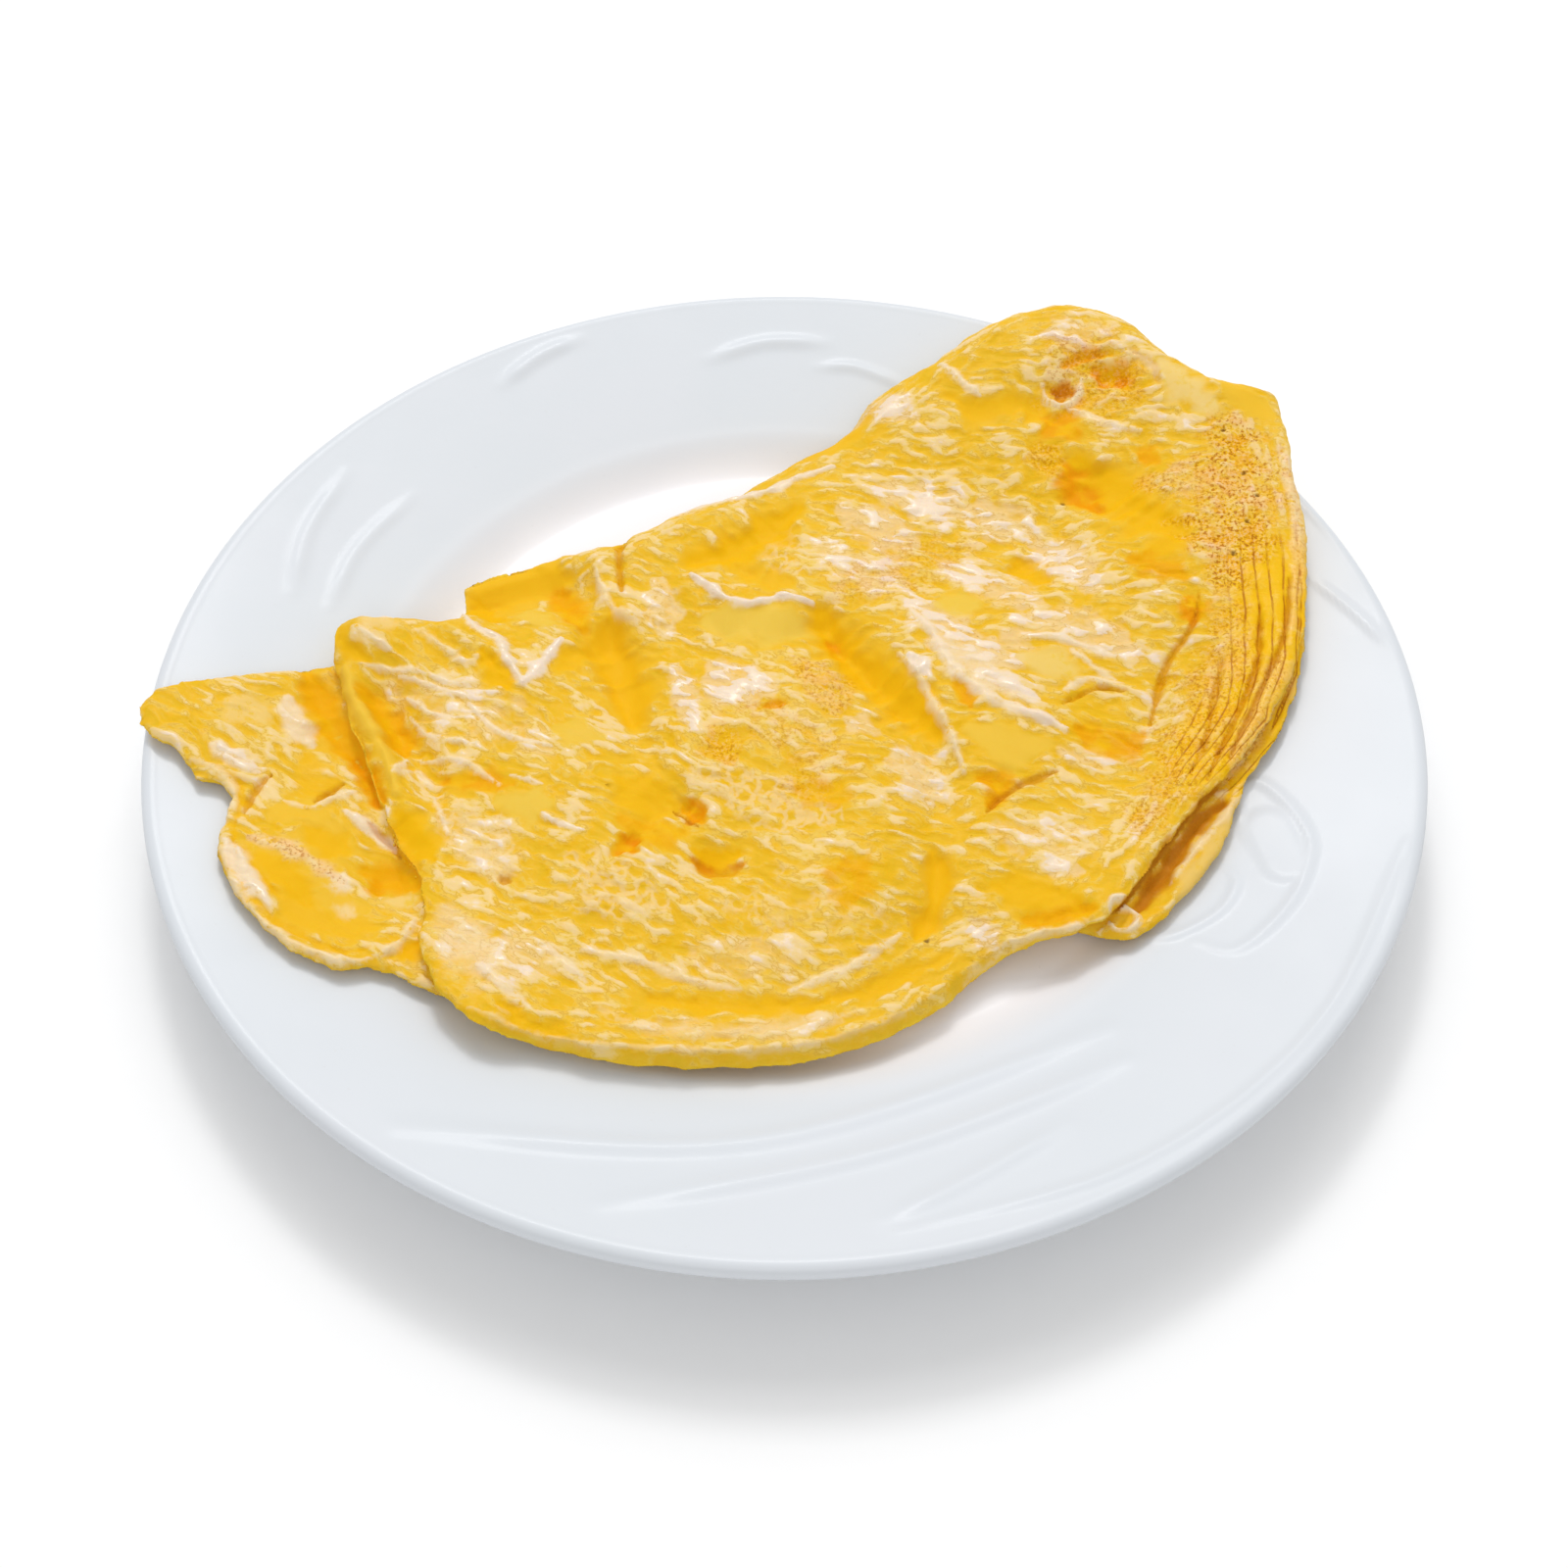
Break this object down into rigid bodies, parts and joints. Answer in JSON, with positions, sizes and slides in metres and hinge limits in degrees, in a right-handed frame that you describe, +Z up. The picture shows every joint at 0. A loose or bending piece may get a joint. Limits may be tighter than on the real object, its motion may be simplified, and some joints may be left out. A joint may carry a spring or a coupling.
{
  "type": "folded omelette on a dinner plate",
  "caption": "Folded omelette with a soft wrinkled top, a rounded fold along the back and loose thin lips, lying across a round porcelain dinner plate with a wide rim.",
  "frame": {"origin": "centre of the plate, on the plane that its foot ring stands on", "axes": "+Z up through the plate; +X to the right and +Y away from someone who sees the omelette's open lips towards them and its fold at the back"},
  "size_m": [0.2614, 0.26, 0.0332],
  "materials": {
    "porcelain": "white clear-glazed porcelain with low sweeping ridges pressed into the rim",
    "egg": "fried egg: warm yellow, buttery gloss, wrinkled and finely bubbled, deeper yellow in its folds"
  },
  "bodies": {
    "root": {"plate": "porcelain", "omelette": "egg"}
  },
  "joints": []
}
